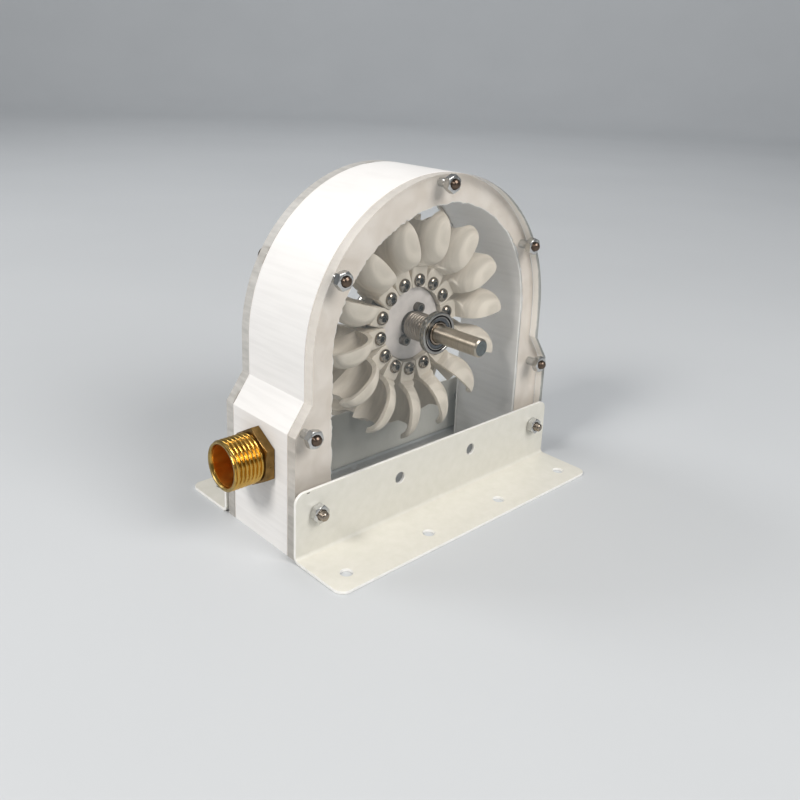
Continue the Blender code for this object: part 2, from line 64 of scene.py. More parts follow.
# Sealant
FILM_PLACE = 19.15
FILM_HALF = 0.1
FILM_EDGE = 0.04
FILM_INSET = 0.1
FILM_FOOT = 0.8
FILM_LEFT = 55.4
FILM_RIGHT = 61.2
FILM_INMOST = 53.4
FILM_AT_RING = 61.3
FILM_TURNING = 106.0
BEAD_RADIUS = 0.42
BEAD_PLACE = 18.8
BEAD_REACH = 60.2

# Angles
ANGLE_FACE = 24.6
ANGLE_LENGTH = 156.0
ANGLE_LEG = 30.0
SHEET = 1.5
BEND_OUTER = 3.0
BEND_MIDDLE = 2.25
ANGLE_PITCH = 45.0
ANGLE_HOLE = 2.6
ANGLE_CORNER = 4.5
ANGLE_EDGE = 0.35
BEND_CUTS = 10
HOLE_FROM_TOE = 9.7
HOLE_HEIGHT = 19.5
CHIP_ACROSS = -72.0
CHIP_HEIGHT = ANGLE_LEG - 0.75

# Fasteners
BOLT_CIRCLE = 65.0
BOLT_RADIUS = 2.0
BOLT_HOLE = 2.35
BOLT_HEAD_RADIUS = 3.8
BOLT_HEAD_HEIGHT = 2.3
BOLT_HEAD_SKIRT = 0.6
HEAD_SINK = 0.25
BOLT_PROUD = 1.8
ANGLE_BOLT_PROUD = 2.6
BOLT_PITCH = 0.7
NUT_FLATS = 7.0
NUT_HEIGHT = 3.2
NUT_SINK = 0.15
NUT_BORE = 2.05
NUT_BEVEL = 0.35
SHOULDER_BOLT = (69.4, 51.5)
ANGLE_BOLT = (67.5, HOLE_HEIGHT)

# Shaft line
SHAFT_RADIUS = 4.0
SHAFT_FRONT = 47.7
SHAFT_REAR = 28.0
BORE = 4.15
BEARING_RADIUS = 9.5
BEARING_FACE = 23.2
BEARING_BACK = 20.2
SHIELD_RADIUS = 6.85
GROOVE_INNER = 7.47
GROOVE_OUTER = 8.08
COLLAR_RADIUS = 6.4
COLLAR_NECK = 5.9
COLLAR_ROOT = 7.2
COLLAR_END = 19.1
COLLAR_NOSE = 19.9
COLLAR_RIBS = 8

# Wheel
BUCKETS = 14
FIRST_BUCKET = 84.3
HUB_RADIUS = 16.7
HUB_HALF = 5.2
WEB_RADIUS = 23.8
WEB_HALF = 2.0
CAP_ANGLES = (63.0, 237.0)
CAP_CIRCLE = 8.0
CAP_HEIGHT = 2.8
CAP_RADIUS = 2.35
CAP_SOCKET = 2.5
STEM_FACE = 7.5
STEM_HALF = 4.4
STEM_BLEND = 2.5
STEM_SCREW = 20.3
STEM_HEAD = 3.1
STEM_SOCKET = 2.4
STEM_SOCKET_SHADE_REACH = 1.28
STEM_NUT_FLATS = 5.5
STEM_NUT_HEIGHT = 2.4
NECK = 26.0
CUP_MIDDLE = 41.0
TIP = 52.8
CUP_HALF_WIDTH = 18.2
CUP_WALL = 2.0
CUP_RIM = -4.9
CUP_DEEPEST = 39.0
CUP_HEIGHT = 10.6
NECK_HEIGHT = 7.9
SPLITTER_DROP = 1.0
SPLITTER_TIP = 48.3
NOTCH_ROOT = 46.6
NOTCH_HALF_WIDTH = 11.8
NOTCH_CORNER = 3.4

# Inlet
INLET_HEIGHT = 37.5
INLET_REACH = 17.798
HEX_THICKNESS = 4.0
HEX_FLATS = 22.0
HEX_RIM = 10.95
SEAT_RADIUS = 9.9
SEAT_DEPTH = 8.3
SHANK_RADIUS = 9.6
SHANK_DEPTH = 8.0
JET_RADIUS = 4.0
THREAD_RADIUS = 10.48
THREAD_DEPTH = 1.05
THREAD_PITCH = 1.814
THREAD_RELIEF = 9.45
INLET_BORE = 8.5

MM = 0.001
GAP = 0.3
across_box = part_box("housing_ring")
HOUSING = Matrix.Translation(((across_box[0][0] + across_box[1][0]) / 2, 0.0, 0.0))
WHEEL = HOUSING @ Matrix.Translation((0.0, 0.0, AXIS_HEIGHT * MM))
FACING_FRONT = Matrix.Rotation(math.radians(90), 4, "X")
FACING_REAR = Matrix.Rotation(math.radians(-90), 4, "X")


# Materials

def principled(name, colour, roughness, metallic=0.0, **others):
    material = bpy.data.materials.new(name)
    material.use_nodes = True
    shader = material.node_tree.nodes["Principled BSDF"]
    shader.inputs["Base Color"].default_value = (*colour, 1.0)
    shader.inputs["Roughness"].default_value = roughness
    shader.inputs["Metallic"].default_value = metallic
    for socket, value in others.items():
        shader.inputs[socket.replace("_", " ")].default_value = value
    return material


def noise_of(material, scale, stretch=(1.0, 1.0, 1.0), detail=3.0, distortion=0.0):
    """Noise in the piece's own space. Scale is in cycles a metre, and stretch changes it by axis."""
    nodes, links = material.node_tree.nodes, material.node_tree.links
    place = nodes.new("ShaderNodeTexCoord")
    spread = nodes.new("ShaderNodeMapping")
    spread.inputs["Scale"].default_value = stretch
    texture = nodes.new("ShaderNodeTexNoise")
    texture.inputs["Scale"].default_value = scale
    texture.inputs["Detail"].default_value = detail
    texture.inputs["Distortion"].default_value = distortion
    links.new(place.outputs["Object"], spread.inputs["Vector"])
    links.new(spread.outputs["Vector"], texture.inputs["Vector"])
    return texture.outputs["Fac"]


def colour_by(material, value, low, high, start=0.3, end=0.7):
    nodes, links = material.node_tree.nodes, material.node_tree.links
    ramp = nodes.new("ShaderNodeValToRGB")
    first, last = ramp.color_ramp.elements
    first.position, last.position = start, end
    first.color, last.color = (*low, 1.0), (*high, 1.0)
    links.new(value, ramp.inputs["Fac"])
    links.new(ramp.outputs["Color"], nodes["Principled BSDF"].inputs["Base Color"])


def rough_by(material, value, low, high):
    nodes, links = material.node_tree.nodes, material.node_tree.links
    spread = nodes.new("ShaderNodeMapRange")
    spread.inputs["From Min"].default_value = 0.3
    spread.inputs["From Max"].default_value = 0.7
    spread.inputs["To Min"].default_value = low
    spread.inputs["To Max"].default_value = high
    links.new(value, spread.inputs["Value"])
    links.new(spread.outputs["Result"], nodes["Principled BSDF"].inputs["Roughness"])


def bump_by(material, value, strength, distance):
    """Adds a bump under the ones that are already there."""
    nodes, links = material.node_tree.nodes, material.node_tree.links
    normal = nodes["Principled BSDF"].inputs["Normal"]
    bump = nodes.new("ShaderNodeBump")
    bump.inputs["Strength"].default_value = strength
    bump.inputs["Distance"].default_value = distance * MM
    links.new(value, bump.inputs["Height"])
    if normal.links:
        links.new(normal.links[0].from_socket, bump.inputs["Normal"])
    links.new(bump.outputs["Normal"], normal)


def layers_of(material, pitch, axis):
    """Fine waves along one axis, as the layers of a print."""
    nodes, links = material.node_tree.nodes, material.node_tree.links
    place = nodes.new("ShaderNodeTexCoord")
    wave = nodes.new("ShaderNodeTexWave")
    wave.bands_direction = axis
    wave.inputs["Scale"].default_value = 0.314 / (pitch * MM)
    wave.inputs["Distortion"].default_value = 0.4
    wave.inputs["Detail"].default_value = 1.0
    links.new(place.outputs["Object"], wave.inputs["Vector"])
    return wave.outputs["Fac"]


def edge_by_depth(material):
    """Pale sealant towards the ring, painted lighter than the film's sealant as painted light for the edge's
    shade, and clear grey towards the plate's face, parted by a wavy line.
    """
    near, far = 23.3, 24.0
    waviness = 1.6
    # The smeared tone is lighter than the film's sealant: painted light, making up for the shade on the
    # plate's right-hand edge.
    smeared, bare = (0.90, 0.87, 0.82), (0.40, 0.42, 0.43)
    nodes, links = material.node_tree.nodes, material.node_tree.links
    place = nodes.new("ShaderNodeTexCoord")
    split = nodes.new("ShaderNodeSeparateXYZ")
    links.new(place.outputs["Object"], split.inputs["Vector"])
    depth = nodes.new("ShaderNodeMath")
    depth.operation = "ABSOLUTE"
    links.new(split.outputs["Y"], depth.inputs[0])
    sway = nodes.new("ShaderNodeMath")
    sway.operation = "MULTIPLY_ADD"
    sway.inputs[1].default_value = waviness * MM
    links.new(noise_of(material, 150.0), sway.inputs[0])
    links.new(depth.outputs["Value"], sway.inputs[2])
    spread = nodes.new("ShaderNodeMapRange")
    spread.inputs["From Min"].default_value = near * MM
    spread.inputs["From Max"].default_value = far * MM
    links.new(sway.outputs["Value"], spread.inputs["Value"])
    colour_by(material, spread.outputs["Result"], smeared, bare, 0.0, 1.0)


def print_material(name, low, high, roughness, axis, banding, relief):
    material = principled(name, high, roughness)
    bands = noise_of(material, 1.0, banding, 2.0)
    colour_by(material, bands, low, high, 0.35, 0.6)
    rough_by(material, noise_of(material, 300.0), roughness - 0.05, roughness + 0.08)
    bump_by(material, layers_of(material, 0.3, axis), 0.6 * relief, 0.02)
    bump_by(material, bands, relief, 0.06)
    bump_by(material, noise_of(material, 900.0), 0.2, 0.02)
    return material


def metal(name, colour, roughness, stretch=(1.0, 1.0, 1.0), scale=700.0, variation=0.12, bump=0.02):
    material = principled(name, colour, roughness, 1.0)
    darker = [c * (1.0 - variation) for c in colour]
    lighter = [min(1.0, c * (1.0 + 0.5 * variation)) for c in colour]
    worn = noise_of(material, scale, stretch)
    colour_by(material, worn, darker, lighter)
    rough_by(material, noise_of(material, 220.0), roughness * 0.8, roughness * 1.25)
    bump_by(material, worn, 0.3, bump)
    return material


def lathe_grooves(material):
    """Spreads the shine along the Y axis, as fine turned grooves round it do."""
    nodes, links = material.node_tree.nodes, material.node_tree.links
    shader = nodes["Principled BSDF"]
    round_axis = nodes.new("ShaderNodeTangent")
    round_axis.direction_type = "RADIAL"
    round_axis.axis = "Y"
    shader.inputs["Anisotropic"].default_value = 0.8
    shader.inputs["Anisotropic Rotation"].default_value = 0.25
    links.new(round_axis.outputs["Tangent"], shader.inputs["Tangent"])


def sawn_material(name, low, high, alpha):
    """The cut edge of a clear plate, matt from the saw."""
    material = principled(name, high, 0.4, Alpha=alpha)
    marks = noise_of(material, 1.0, (500.0, 90.0, 500.0), 4.0)
    colour_by(material, marks, low, high, 0.25, 0.75)
    rough_by(material, marks, 0.3, 0.5)
    bump_by(material, marks, 0.35, 0.04)
    return material


def arch_edge_material(name, low, high, alpha):
    """The cut edge over the arch: saw-marked on the left, and smeared with sealant towards the right."""
    all_smeared_from = 40.0
    material = sawn_material(name, low, high, alpha)
    nodes, links = material.node_tree.nodes, material.node_tree.links
    shader = nodes["Principled BSDF"]
    sawn_colour = shader.inputs["Base Color"].links[0].from_socket
    edge_by_depth(material)
    smeared_colour = shader.inputs["Base Color"].links[0].from_socket
    place = nodes.new("ShaderNodeTexCoord")
    split = nodes.new("ShaderNodeSeparateXYZ")
    links.new(place.outputs["Object"], split.inputs["Vector"])
    fade = nodes.new("ShaderNodeMapRange")
    fade.inputs["From Min"].default_value = 0.0
    fade.inputs["From Max"].default_value = all_smeared_from * MM
    links.new(split.outputs["X"], fade.inputs["Value"])
    blend = nodes.new("ShaderNodeMixRGB")
    links.new(fade.outputs["Result"], blend.inputs["Fac"])
    links.new(sawn_colour, blend.inputs["Color1"])
    links.new(smeared_colour, blend.inputs["Color2"])
    links.new(blend.outputs["Color"], shader.inputs["Base Color"])
    cover = nodes.new("ShaderNodeMapRange")
    cover.inputs["To Min"].default_value = alpha
    links.new(fade.outputs["Result"], cover.inputs["Value"])
    links.new(cover.outputs["Result"], shader.inputs["Alpha"])
    return material


ring_print = print_material("ring_print", (0.81, 0.80, 0.79), (0.85, 0.84, 0.83), 0.5, "Z",
                            (30.0, 30.0, 500.0), 0.14)
bucket_print = print_material("bucket_print", (0.61, 0.55, 0.46), (0.73, 0.66, 0.56), 0.6, "Y",
                              (60.0, 500.0, 60.0), 0.4)
hub_print = print_material("hub_print", (0.62, 0.575, 0.54), (0.70, 0.65, 0.61), 0.5, "Y",
                           (200.0, 40.0, 200.0), 0.3)

clear = principled("clear_plate", (0.60, 0.66, 0.67), 0.05, Alpha=0.045)
rough_by(clear, noise_of(clear, 40.0), 0.03, 0.10)
dull_cut = ((0.40, 0.385, 0.36), (0.60, 0.58, 0.545), 0.85)
pale_cut = ((0.72, 0.69, 0.65), (0.82, 0.79, 0.75), 0.5)
sawn_low = sawn_material("sawn_edge_low", *dull_cut)
front_arch_edge = arch_edge_material("front_arch_edge", *pale_cut)
rear_arch_edge = arch_edge_material("rear_arch_edge", *dull_cut)
# The plate's right-hand cut edge: real sealant smear, in a tone painted lighter as painted light for the
# edge's shade.
smeared_edge_painted_light = principled("smeared_edge_painted_light", (0.62, 0.60, 0.56), 0.45)
edge_by_depth(smeared_edge_painted_light)

sealant = principled("sealant", (0.72, 0.66, 0.60), 0.45)
smear = noise_of(sealant, 90.0, detail=5.0, distortion=0.6)
colour_by(sealant, smear, (0.67, 0.595, 0.515), (0.79, 0.725, 0.655))
bump_by(sealant, smear, 0.4, 0.15)
bead_white = principled("sealant_bead", (0.88, 0.87, 0.84), 0.35)
colour_by(bead_white, noise_of(bead_white, 300.0), (0.80, 0.79, 0.76), (0.92, 0.91, 0.89))

coat = principled("cream_coating", (0.80, 0.78, 0.71), 0.33, Coat_Weight=0.25, Coat_Roughness=0.15)
speckle = noise_of(coat, 260.0, detail=4.0)
colour_by(coat, speckle, (0.70, 0.685, 0.61), (0.765, 0.745, 0.68), 0.2, 0.8)
rough_by(coat, noise_of(coat, 60.0), 0.28, 0.42)
bump_by(coat, noise_of(coat, 1500.0), 0.25, 0.02)
bump_by(coat, noise_of(coat, 120.0), 0.2, 0.06)
# Lighter cream for the sheets' cut edges and hole walls: painted highlight for the light they catch, over
# the same coating.
coat_edge_painted_highlight = principled("coating_edge_painted_highlight", (0.93, 0.92, 0.89), 0.28, Coat_Weight=0.4, Coat_Roughness=0.1)
colour_by(coat_edge_painted_highlight, noise_of(coat_edge_painted_highlight, 300.0), (0.88, 0.87, 0.83), (0.95, 0.94, 0.92))
chip = principled("bare_chip", (0.16, 0.14, 0.12), 0.6, 0.3)
colour_by(chip, noise_of(chip, 2000.0), (0.10, 0.09, 0.08), (0.30, 0.26, 0.22))

brass_thread = metal("brass_thread", (0.62, 0.38, 0.09), 0.22, (400.0, 60.0, 60.0), 1.0, 0.2, 0.008)
brass_rim = metal("brass_rim", (0.40, 0.29, 0.11), 0.38, scale=500.0, variation=0.3)
# Brighter, oranger brass for the bore: painted light, making up for the shade inside it.
brass_bore_painted_light = metal("brass_bore_painted_light", (0.82, 0.42, 0.08), 0.36, (30.0, 300.0, 300.0), 1.0)
brass_hex = metal("brass_hexagon", (0.24, 0.145, 0.05), 0.34, scale=260.0, variation=0.4)
bolt_dark = metal("bolt_dark", (0.15, 0.11, 0.085), 0.28)
zinc = metal("zinc_nut", (0.60, 0.60, 0.59), 0.22, scale=900.0)
screw_steel = metal("screw_steel", (0.25, 0.215, 0.175), 0.11, bump=0.003)
bolt_bright = metal("bolt_bright", (0.33, 0.28, 0.23), 0.25)
# Near-black for the screws' hexagon sockets: painted shade in the recesses.
socket_painted_shade = metal("socket_painted_shade", (0.03, 0.03, 0.03), 0.5)
cap_dark = metal("cap_dark", (0.16, 0.14, 0.12), 0.32)
bearing_steel = metal("bearing_steel", (0.36, 0.35, 0.33), 0.18)
bearing_race = metal("bearing_race", (0.30, 0.25, 0.20), 0.20)
bearing_shield = metal("bearing_shield", (0.13, 0.14, 0.15), 0.28)
# Near-black for the groove round the shield: painted shade in the recess.
bearing_groove_painted_shade = metal("bearing_groove_painted_shade", (0.03, 0.03, 0.04), 0.45)
shaft_steel = metal("shaft_steel", (0.50, 0.45, 0.38), 0.36, (60.0, 1800.0, 60.0), 1.0, 0.15, 0.008)
lathe_grooves(shaft_steel)
# Dark, faintly cool grey for the shaft's flat end faces: painted reflection of dim, cool surroundings on the
# same steel.
shaft_end_painted_reflection = metal("shaft_end_painted_reflection", (0.20, 0.22, 0.22), 0.30, scale=1200.0, variation=0.3)
collar_steel = metal("collar_steel", (0.33, 0.285, 0.24), 0.32, (30.0, 1500.0, 30.0), 1.0, 0.2, 0.006)
# Near-black for the collar's narrow neck: painted shade in the gap between the ribbed barrel and the hub.
collar_painted_shade = metal("collar_neck_painted_shade", (0.08, 0.07, 0.06), 0.5)


# Mesh helpers

def arc(centre, radius, start, end, steps):
    points = []
    for i in range(steps + 1):
        angle = math.radians(start + (end - start) * i / steps)
        points.append((centre[0] + radius * math.cos(angle), centre[1] + radius * math.sin(angle)))
    return points


def circle(centre, radius, steps):
    return arc(centre, radius, 0, 360, steps)[:-1]


def smooth(mesh, angle):
    mesh.shade_smooth()
    mesh.set_sharp_from_angle(angle=math.radians(angle))
    return mesh


def add_piece(name, mesh, body, place, materials, replaces=(), flat_faces=False):
    """Puts a finished mesh, in metres, in the scene and lets it ride on its body."""
    piece = bpy.data.objects.new(name, mesh)
    bpy.context.scene.collection.objects.link(piece)
    piece.matrix_world = place
    for material in materials:
        mesh.materials.append(material)
    if flat_faces:
        steady = piece.modifiers.new("steady_normals", "WEIGHTED_NORMAL")
        steady.keep_sharp = True
    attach(piece, body)
    if replaces:
        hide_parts(*replaces)
    return piece


def outline_mesh(name, loops, half_thickness, edge, turn=Matrix.Identity(4)):
    """A flat outline with holes, extruded both ways, with a small rounded edge, welded shut."""
    curve = bpy.data.curves.new(name, "CURVE")
    curve.dimensions = "2D"
    curve.fill_mode = "BOTH"
    curve.extrude = half_thickness - edge
    curve.bevel_depth = edge
    curve.bevel_resolution = 1
    curve.offset = -edge
    for loop in loops:
        spline = curve.splines.new("POLY")
        spline.points.add(len(loop) - 1)
        spline.use_cyclic_u = True
        for point, (x, y) in zip(spline.points, loop):
            point.co = (x, y, 0.0, 1.0)
    holder = bpy.data.objects.new(name, curve)
    bpy.context.scene.collection.objects.link(holder)
    evaluated = holder.evaluated_get(bpy.context.evaluated_depsgraph_get())
    mesh = bpy.data.meshes.new_from_object(evaluated)
    bpy.data.objects.remove(holder, do_unlink=True)
    bpy.data.curves.remove(curve)
    shape = bmesh.new()
    shape.from_mesh(mesh)
    bmesh.ops.remove_doubles(shape, verts=shape.verts, dist=0.002)
    bmesh.ops.recalc_face_normals(shape, faces=shape.faces)
    shape.to_mesh(mesh)
    shape.free()
    mesh.materials.clear()
    mesh.transform(turn)
    return mesh


def to_metres(mesh):
    mesh.transform(Matrix.Scale(MM, 4))
    return mesh


def rows_mesh(name, rows, steps, closed=False, angle=32, turn=Matrix.Identity(4)):
    """Rows of points round Z, from the top down the outer side, joined into one skin. A row is a radius
    and a height, or a function of the angle that gives both. A radius of nought closes to a point."""
    points, faces, starts = [], [], []
    for row in rows:
        starts.append(len(points))
        if not callable(row) and row[0] == 0.0:
            points.append((0.0, 0.0, row[1]))
            continue
        for i in range(steps):
            turned = 2 * math.pi * i / steps
            radius, height = row(turned) if callable(row) else row
            points.append((radius * math.cos(turned), radius * math.sin(turned), height))
    ends = starts[1:] + [len(points)]
    counts = [end - start for start, end in zip(starts, ends)]
    pairs = list(zip(range(len(rows)), range(1, len(rows))))
    if closed:
        pairs.append((len(rows) - 1, 0))
    for here, there in pairs:
        a, b = starts[here], starts[there]
        for i in range(steps):
            j = (i + 1) % steps
            if counts[here] == 1:
                faces.append((a, b + i, b + j))
            elif counts[there] == 1:
                faces.append((a + i, b, a + j))
            else:
                faces.append((a + i, b + i, b + j, a + j))
    mesh = bpy.data.meshes.new(name)
    mesh.from_pydata(points, [], faces)
    mesh.transform(turn)
    return smooth(to_metres(mesh), angle)


def paint_faces(mesh, index, test):
    for face in mesh.polygons:
        if test(face):
            face.material_index = index


def carve(mesh, cutters):
    """Cuts the cutter meshes out of a mesh, all in metres."""
    blank = bpy.data.objects.new("blank", mesh)
    bpy.context.scene.collection.objects.link(blank)
    helpers = [blank]
    for i, cutter_mesh in enumerate(cutters):
        cutter = bpy.data.objects.new("cutter_%d" % i, cutter_mesh)
        bpy.context.scene.collection.objects.link(cutter)
        helpers.append(cutter)
        step = blank.modifiers.new("cut_%d" % i, "BOOLEAN")
        step.operation = "DIFFERENCE"
        step.solver = "EXACT"
        step.object = cutter
    evaluated = blank.evaluated_get(bpy.context.evaluated_depsgraph_get())
    result = bpy.data.meshes.new_from_object(evaluated)
    for helper in helpers:
        bpy.data.objects.remove(helper, do_unlink=True)
    result.materials.clear()
    return result


def cylinder(radius, low, high, steps=64, turn=Matrix.Identity(4)):
    return rows_mesh("cylinder", [(0.0, high), (radius, high), (radius, low), (0.0, low)], steps, turn=turn)


def hexagon(flats):
    """The radius of a hexagon by angle, with a corner at nought."""
    def radius(angle):
        return flats / 2 / math.cos(math.radians((math.degrees(angle) % 60.0) - 30.0))
    return radius


# Housing

def bolt_places():
    places = []
    for angle in (150, 90, 30):
        places.append((BOLT_CIRCLE * math.cos(math.radians(angle)),
                       AXIS_HEIGHT + BOLT_CIRCLE * math.sin(math.radians(angle)), False))
    places += [(side * SHOULDER_BOLT[0], SHOULDER_BOLT[1], False) for side in (-1, 1)]
    places += [(side * ANGLE_BOLT[0], ANGLE_BOLT[1], True) for side in (-1, 1)]
    return places


def outer_outline(inset=0.0, steps=180):
    """The housing's outline: straight base, sloped shoulders and arch, drawn in from its edge by inset."""
    base = BASE_HALF_WIDTH - inset
    slope = math.atan2(SHOULDER_HIGH - SHOULDER_LOW, BASE_HALF_WIDTH - ARCH_RADIUS)
    low = SHOULDER_LOW - inset * math.tan((math.pi / 2 - slope) / 2)
    high = SHOULDER_HIGH - inset * math.tan((math.pi / 2 - slope) / 2)
    left = [(-base, inset), (-base, low), (-(ARCH_RADIUS - inset), high)]
    arch = arc((0.0, AXIS_HEIGHT), ARCH_RADIUS - inset, 180, 0, steps)
    return left + arch + [(-x, z) for x, z in reversed(left)]


def make_ring():
    arch = arc((0.0, AXIS_HEIGHT), CAVITY_RADIUS, 0, 180, 160)
    cavity = [(CAVITY_RADIUS, 0.0)] + arch + [(-CAVITY_RADIUS, 0.0)]
    holes = [circle((x, z), BOLT_HOLE, 24) for x, z, _ in bolt_places()]
    mesh = to_metres(outline_mesh("ring_print", [outer_outline() + cavity] + holes, RING_HALF_DEPTH,
                                  PRINT_EDGE, FACING_FRONT))
    along_inlet = Matrix.Rotation(math.radians(90), 4, "Y")
    turn = Matrix.Translation((-BASE_HALF_WIDTH, 0.0, INLET_HEIGHT)) @ along_inlet
    seat = cylinder(SEAT_RADIUS, -SEAT_DEPTH, SEAT_DEPTH, 64, turn)
    outside, in_cavity = -10.0, 30.0
    jet = cylinder(JET_RADIUS, outside, in_cavity, 48, turn)
    mesh = smooth(carve(mesh, [seat, jet]), 30)
    add_piece("ring_print", mesh, "housing", HOUSING, [ring_print], ["housing_ring"], True)


def beside_hole(point):
    """Whether a point of a plate is on the wall of a bolt hole or of the bearing's bore."""
    x, z = point.x / MM, point.z / MM
    if math.hypot(x, z - AXIS_HEIGHT) < BORE_WALL_WITHIN:
        return True
    return any(math.hypot(x - across, z - height) < HOLE_WALL_WITHIN for across, height, _ in bolt_places())


def make_plate(name, node, side, arch_edge):
    """A clear plate. Its cut edge is sawn at the lower left, smeared with sealant at the lower right, and
    arch_edge above the shoulders."""
    holes = [circle((x, z), BOLT_HOLE, 24) for x, z, _ in bolt_places()]
    bore = circle((0.0, AXIS_HEIGHT), BEARING_RADIUS + GAP, 72)
    turn = Matrix.Translation((0.0, side * (PLATE_INNER + PLATE_OUTER) / 2, 0.0)) @ FACING_FRONT
    mesh = outline_mesh(name, [outer_outline(), bore] + holes, PLATE_THICKNESS / 2, PLATE_EDGE, turn)
    to_metres(mesh)
    paint_faces(mesh, 1, lambda face: abs(face.normal.y) < 0.8 and not beside_hole(face.center))
    paint_faces(mesh, 2, lambda face: face.material_index == 1 and face.center.z > SHOULDER_LOW * MM)
    paint_faces(mesh, 3, lambda face: face.material_index == 1 and face.center.x > 0.0)
    smooth(mesh, 30)
    add_piece(name, mesh, "housing", HOUSING, [clear, sawn_low, arch_edge, smeared_edge_painted_light],
              [node], True)


def sealant_edge(angle):
    """How far from the axis the sealant's ragged inner edge runs, by angle over the arch in degrees. It is
    smeared in over the clear side on the upper left, and comes out to the ring's edge on the right."""
    inmost_at, left_spread, right_spread = 124.0, 36.0, 76.0
    if angle > FILM_TURNING:
        radius = FILM_INMOST + ((angle - inmost_at) / left_spread) ** 2
    else:
        share = min(1.0, (FILM_TURNING - angle) / right_spread)
        radius = FILM_INMOST + (FILM_AT_RING - FILM_INMOST) * share ** 0.85
    return radius + 0.7 * ragged(angle, 3.0)


def ragged(along, seed):
    """The uneven run of a smeared edge, in millimetres: slow waves with sharper nicks on top."""
    slow = 1.3 * noise.noise(Vector((along * 0.12, seed, 0.0)))
    waves = 0.8 * noise.noise(Vector((along * 0.55, seed + 6.0, 0.0)))
    nicks = noise.noise(Vector((along * 1.9, seed + 11.0, 0.0)))
    return slow + waves + 0.7 * math.copysign(abs(nicks) ** 0.7, nicks)


def sealant_inner():
    """The inner edge as points, from the lower left up over the arch and down to the lower right."""
    points = []
    straight_steps, arch_steps = 90, 220
    for i in range(straight_steps):
        z = FILM_FOOT + (AXIS_HEIGHT - FILM_FOOT) * i / straight_steps
        points.append((-(FILM_LEFT + 0.5 * ragged(z, 20.0)), z))
    for i in range(arch_steps + 1):
        angle = 180.0 - 180.0 * i / arch_steps
        radius, turned = sealant_edge(angle), math.radians(angle)
        points.append((radius * math.cos(turned), AXIS_HEIGHT + radius * math.sin(turned)))
    for i in range(straight_steps):
        z = AXIS_HEIGHT - (AXIS_HEIGHT - FILM_FOOT) * (i + 1) / straight_steps
        points.append((FILM_RIGHT + 0.45 * ragged(z, 40.0), z))
    return points


def make_sealant(name, side):
    """The film between the ring and a plate, and the bead where it was squeezed out inside the ring."""
    inner = sealant_inner()
    loop = outer_outline(FILM_INSET, 120) + list(reversed(inner))
    turn = Matrix.Translation((0.0, side * FILM_PLACE, 0.0)) @ FACING_FRONT
    mesh = smooth(to_metres(outline_mesh(name, [loop], FILM_HALF, FILM_EDGE, turn)), 40)
    add_piece(name, mesh, "housing", HOUSING, [sealant], (), True)
    curve = bpy.data.curves.new(name + "_bead", "CURVE")
    curve.dimensions = "3D"
    curve.bevel_depth = BEAD_RADIUS * MM
    curve.bevel_resolution = 3
    curve.use_fill_caps = True
    spline = curve.splines.new("POLY")
    spline.points.add(len(inner) - 1)
    for i, (point, (x, z)) in enumerate(zip(spline.points, inner)):
        above_axis = max(0.0, z - AXIS_HEIGHT)
        pull = min(1.0, BEAD_REACH / math.hypot(x, above_axis))
        height = min(z, AXIS_HEIGHT) + above_axis * pull
        point.co = (x * pull * MM, side * BEAD_PLACE * MM, height * MM, 1.0)
        point.radius = 0.9 + 0.5 * noise.noise(Vector((i * 0.35, side * 5.0, 1.0)))
    holder = bpy.data.objects.new(name + "_bead", curve)
    bpy.context.scene.collection.objects.link(holder)
    mesh = bpy.data.meshes.new_from_object(holder.evaluated_get(bpy.context.evaluated_depsgraph_get()))
    bpy.data.objects.remove(holder, do_unlink=True)
    mesh.materials.clear()
    add_piece(name + "_bead", smooth(mesh, 60), "housing", HOUSING, [bead_white])


# Angles

def blank_loops():
    """The flat blank of an angle, its length across and its width from the toe of the foot to the top."""
    width = 2 * (ANGLE_LEG - BEND_OUTER) + math.pi / 2 * BEND_MIDDLE
    half = ANGLE_LENGTH / 2
    r = ANGLE_CORNER
    loop = arc((half - r, width - r), r, 0, 90, 12) + arc((-half + r, width - r), r, 90, 180, 12)
    loop += arc((-half + r, r), r, 180, 270, 12) + arc((half - r, r), r, 270, 360, 12)
    from_toe = width - (ANGLE_LEG - HOLE_HEIGHT)
    holes = []
    for i in range(4):
        x = (i - 1.5) * ANGLE_PITCH
        holes.append(circle((x, HOLE_FROM_TOE), ANGLE_HOLE, 32))
        holes.append(circle((x, from_toe), ANGLE_HOLE, 32))
    return [loop] + holes


def bend(point):
    """Folds a point of the flat blank: x along, y from the toe, z towards the outer side."""
    flat = ANGLE_LEG - BEND_OUTER
    arc_length = math.pi / 2 * BEND_MIDDLE
    across, s, n = point
    if s < flat:
        return across, ANGLE_LEG - s, SHEET / 2 - n
    if s < flat + arc_length:
        turned = (s - flat) / BEND_MIDDLE
        reach = BEND_MIDDLE + n
        return across, BEND_OUTER - reach * math.sin(turned), BEND_OUTER - reach * math.cos(turned)
    return across, SHEET / 2 - n, BEND_OUTER + s - flat - arc_length


def chip_radius(angle):
    """The outline of the chip: long, low and a little ragged."""
    lowness = 0.28
    oval = lowness / math.hypot(lowness * math.cos(angle), math.sin(angle))
    return oval + 0.06 * math.sin(3 * angle + 1.0)


